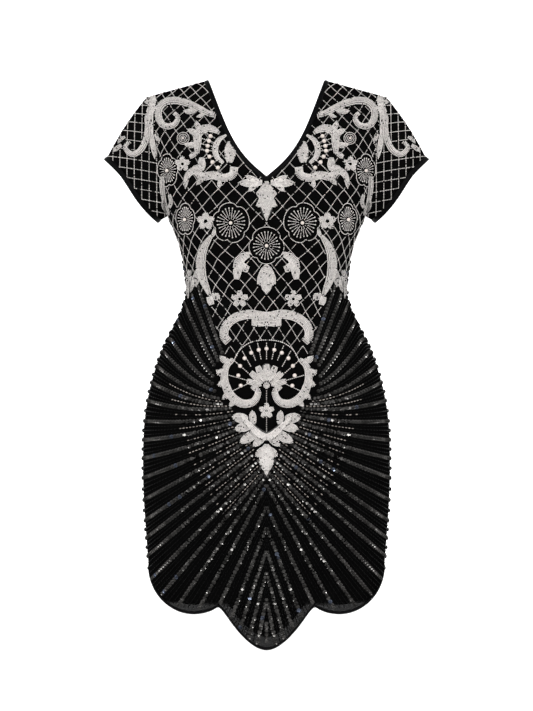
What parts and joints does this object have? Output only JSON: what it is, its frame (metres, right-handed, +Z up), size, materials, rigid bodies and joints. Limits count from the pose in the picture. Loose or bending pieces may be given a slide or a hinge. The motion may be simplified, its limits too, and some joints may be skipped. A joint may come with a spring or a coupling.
{
  "type": "beaded cocktail dress",
  "caption": "Short-sleeved V-neck cocktail dress of black beaded net with silver trellis, raised scrollwork, sequin sunburst skirt and scalloped hem, hollow as worn.",
  "frame": {"origin": "midway between the neck ends of the two shoulder seams, level with them", "axes": "+Z up, the front faces -Y, +X is the wearer's left"},
  "size_m": [0.547, 0.2475, 0.949],
  "materials": {
    "net": "black beaded net, sheer at the hem",
    "lining": "smooth black stretch lining",
    "satin": "black satin binding",
    "beadwork": "warm silver glass seed and bugle beads"
  },
  "bodies": {
    "root": {"front_panel": "net", "back_panel": "net", "sleeve_left": "net", "sleeve_right": "net", "front_lining": "lining", "back_lining": "lining", "neck_binding_front": "satin", "neck_binding_back": "satin", "cuff_binding_left": "satin", "cuff_binding_right": "satin", "hem_binding_front": "satin", "hem_binding_back": "satin", "shoulder_scroll_left": "beadwork", "shoulder_scroll_right": "beadwork", "sleeve_scroll_left": "beadwork", "sleeve_scroll_right": "beadwork", "bust_shell_left": "beadwork", "bust_shell_right": "beadwork", "bust_scroll_left": "beadwork", "bust_scroll_right": "beadwork", "waist_crescent_left": "beadwork", "waist_crescent_right": "beadwork", "arch_band": "beadwork", "fan_scroll_left": "beadwork", "fan_scroll_right": "beadwork", "leaf_spray": "beadwork", "neck_leaf": "beadwork", "waist_leaf": "beadwork", "fan_leaf": "beadwork", "drop_leaf": "beadwork"}
  },
  "joints": []
}
